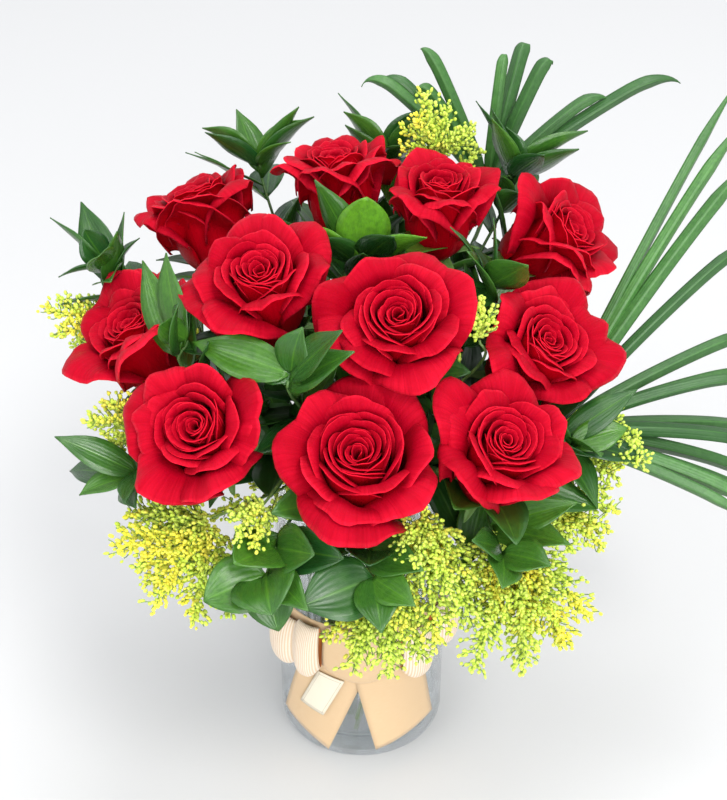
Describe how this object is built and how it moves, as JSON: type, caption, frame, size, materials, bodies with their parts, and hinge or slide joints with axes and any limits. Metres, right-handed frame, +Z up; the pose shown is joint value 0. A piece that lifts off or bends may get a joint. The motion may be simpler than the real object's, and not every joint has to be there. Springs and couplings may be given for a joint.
{
  "type": "roses in a vase",
  "caption": "Round bouquet of red roses with ruscus, goldenrod and palm leaves, standing in a straight clear glass vase with a cream ribbon bow.",
  "frame": {"origin": "middle of the flat foot of the vase, on the surface it stands on", "axes": "+Z up along the vase's axis, -Y to the front where the bow is, +X to the right seen from the front"},
  "size_m": [0.4182, 0.3268, 0.3723],
  "materials": {
    "glass": "clear and smooth, faintly blue where it is thick",
    "petals": "velvety red petals, darker in the folds and paler on their rims",
    "stems": "green rose stems with a dull waxy skin",
    "leaves": "dark green glossy leaves with fine long veins",
    "buds": "tiny matte yellow-green buds",
    "palm": "dark green folded leaflets with a paler midline",
    "ribbon": "cream woven ribbon, orange-brown inside the loops",
    "label": "matte pale paper with a plain border"
  },
  "bodies": {
    "root": {"vase": "glass", "rose_bloom_1": "petals", "rose_stem_1": "stems", "rose_bloom_2": "petals", "rose_stem_2": "stems", "rose_bloom_3": "petals", "rose_stem_3": "stems", "rose_bloom_4": "petals", "rose_stem_4": "stems", "rose_bloom_5": "petals", "rose_stem_5": "stems", "rose_bloom_6": "petals", "rose_stem_6": "stems", "rose_bloom_7": "petals", "rose_stem_7": "stems", "rose_bloom_8": "petals", "rose_stem_8": "stems", "rose_bloom_9": "petals", "rose_stem_9": "stems", "rose_bloom_10": "petals", "rose_stem_10": "stems", "rose_bloom_11": "petals", "rose_stem_11": "stems", "ruscus_1": "leaves", "ruscus_2": "leaves", "ruscus_3": "leaves", "ruscus_4": "leaves", "ruscus_5": "leaves", "ruscus_6": "leaves", "ruscus_7": "leaves", "ruscus_8": "leaves", "ruscus_9": "leaves", "ruscus_10": "leaves", "ruscus_11": "leaves", "ruscus_12": "leaves", "ruscus_13": "leaves", "ruscus_14": "leaves", "ruscus_15": "leaves", "goldenrod_1": "buds", "goldenrod_2": "buds", "goldenrod_3": "buds", "goldenrod_4": "buds", "goldenrod_5": "buds", "goldenrod_6": "buds", "goldenrod_7": "buds", "goldenrod_8": "buds", "goldenrod_9": "buds", "goldenrod_10": "buds", "goldenrod_11": "buds", "palm_leaf_1": "palm", "palm_leaf_2": "palm", "ribbon_band": "ribbon", "ribbon_knot": "ribbon", "ribbon_loop_left": "ribbon", "ribbon_loop_left_inner": "ribbon", "ribbon_loop_right": "ribbon", "ribbon_loop_right_inner": "ribbon", "ribbon_tail_left": "ribbon", "ribbon_tail_right": "ribbon", "label": "label"}
  },
  "joints": []
}
